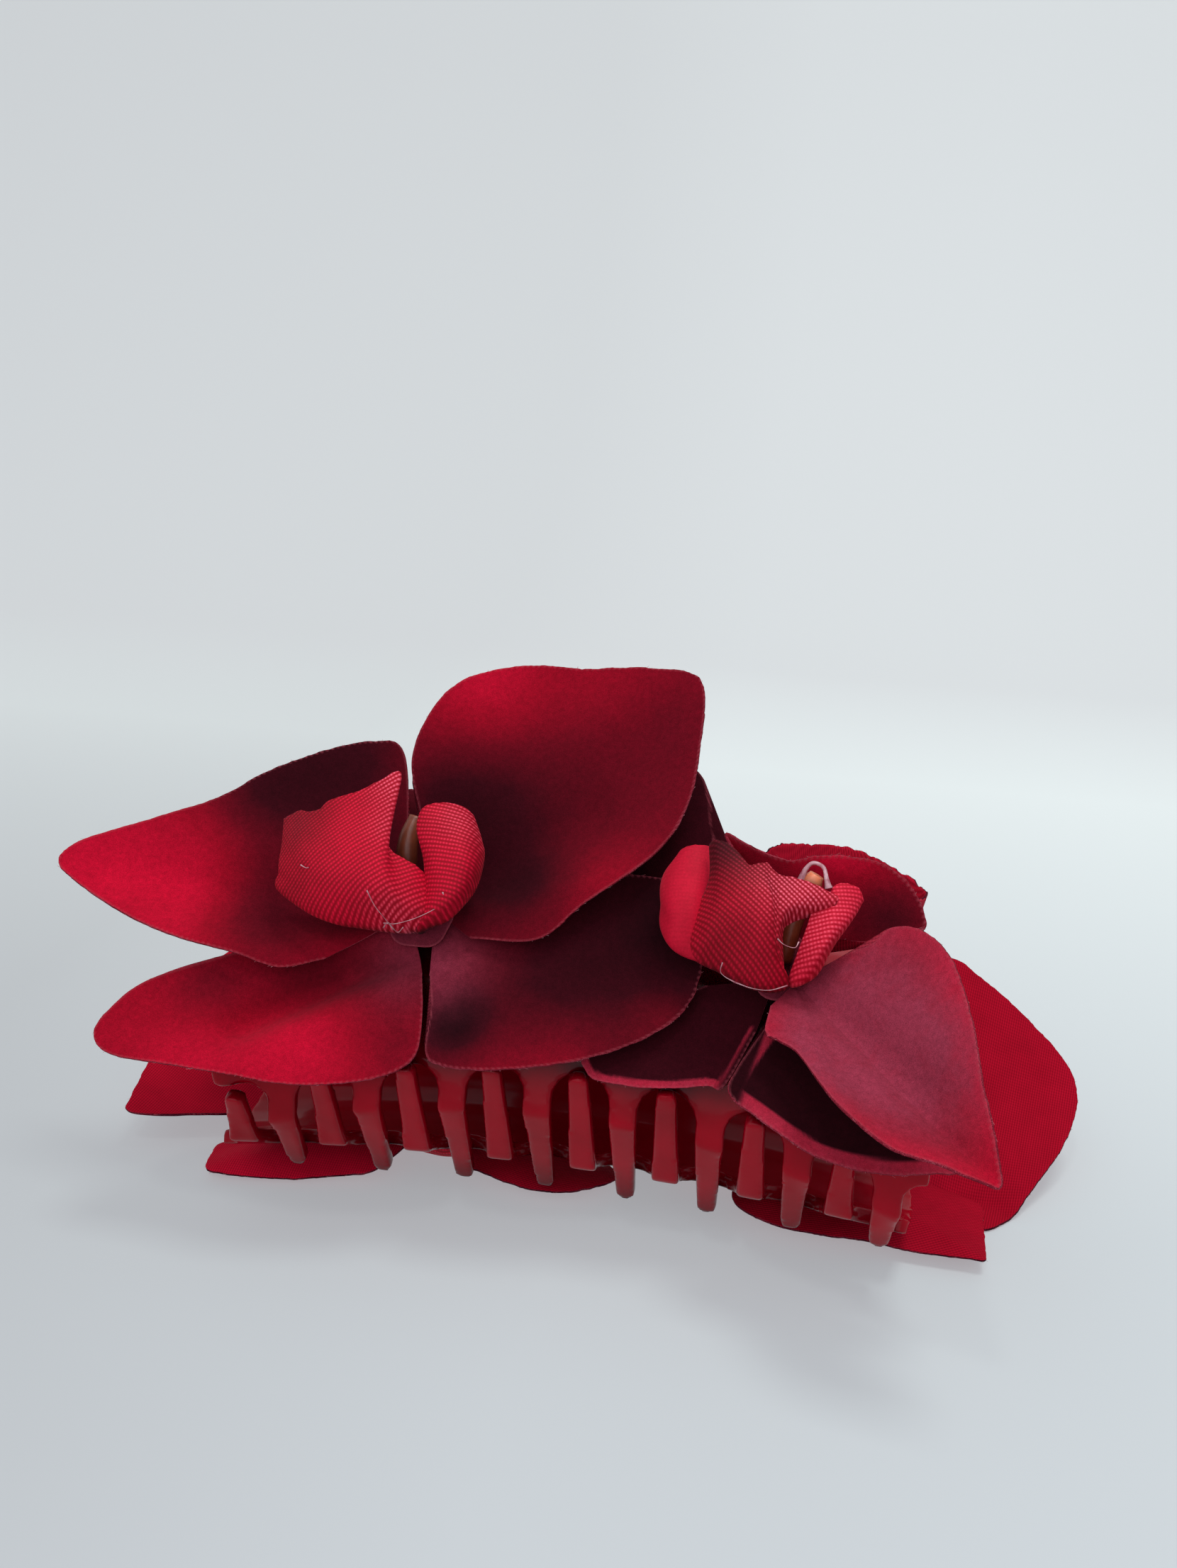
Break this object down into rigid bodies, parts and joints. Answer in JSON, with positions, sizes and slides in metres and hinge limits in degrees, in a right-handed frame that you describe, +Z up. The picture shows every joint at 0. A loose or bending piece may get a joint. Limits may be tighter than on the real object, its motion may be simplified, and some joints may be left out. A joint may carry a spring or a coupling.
{
  "type": "flower hair clip",
  "caption": "Claw hair clip: two curved comb jaws on a sprung pin hinge, covered with fabric orchids on both jaws.",
  "frame": {"origin": "middle of the footprint on the table, with the clip lying on its lower orchids, teeth forwards", "axes": "+X along the clip to the viewer's right, -Y towards the teeth, +Z up"},
  "size_m": [0.168, 0.103, 0.0876],
  "materials": {
    "red_plastic": "glossy, slightly translucent deep red moulding",
    "steel": "bright drawn wire",
    "petal_cloth": "suede-like printed fabric, dark maroon to bright red",
    "lip_cloth": "ribbed red fabric",
    "column_plastic": "moulded orange-brown peg",
    "hot_glue": "set hot-melt glue, milky"
  },
  "bodies": {
    "lower_body": {"lower_jaw": "red_plastic", "hinge_pin": "steel", "torsion_spring": "steel", "lower_left_dorsal_sepal": "petal_cloth", "lower_left_left_sepal": "petal_cloth", "lower_left_right_sepal": "petal_cloth", "lower_left_left_petal": "petal_cloth", "lower_left_right_petal": "petal_cloth", "lower_left_lip": "lip_cloth", "lower_left_column": "column_plastic", "lower_left_glue_pad": "hot_glue", "lower_right_dorsal_sepal": "petal_cloth", "lower_right_left_sepal": "petal_cloth", "lower_right_right_sepal": "petal_cloth", "lower_right_left_petal": "petal_cloth", "lower_right_right_petal": "petal_cloth", "lower_right_lip": "lip_cloth", "lower_right_column": "column_plastic", "lower_right_glue_pad": "hot_glue"},
    "upper_body": {"upper_jaw": "red_plastic", "upper_left_dorsal_sepal": "petal_cloth", "upper_left_left_sepal": "petal_cloth", "upper_left_right_sepal": "petal_cloth", "upper_left_left_petal": "petal_cloth", "upper_left_right_petal": "petal_cloth", "upper_left_lip": "lip_cloth", "upper_left_column": "column_plastic", "upper_left_glue_pad": "hot_glue", "upper_right_dorsal_sepal": "petal_cloth", "upper_right_left_sepal": "petal_cloth", "upper_right_right_sepal": "petal_cloth", "upper_right_left_petal": "petal_cloth", "upper_right_right_petal": "petal_cloth", "upper_right_lip": "lip_cloth", "upper_right_column": "column_plastic", "upper_right_glue_pad": "hot_glue"}
  },
  "joints": [
    {"name": "jaw_hinge", "type": "hinge", "parent": "lower_body", "child": "upper_body", "pos_m": [-0.0005, 0.01752, 0.038], "axis": [-1, 0, 0], "range_deg": [0, 50], "deforming": ["torsion_spring"]}
  ]
}
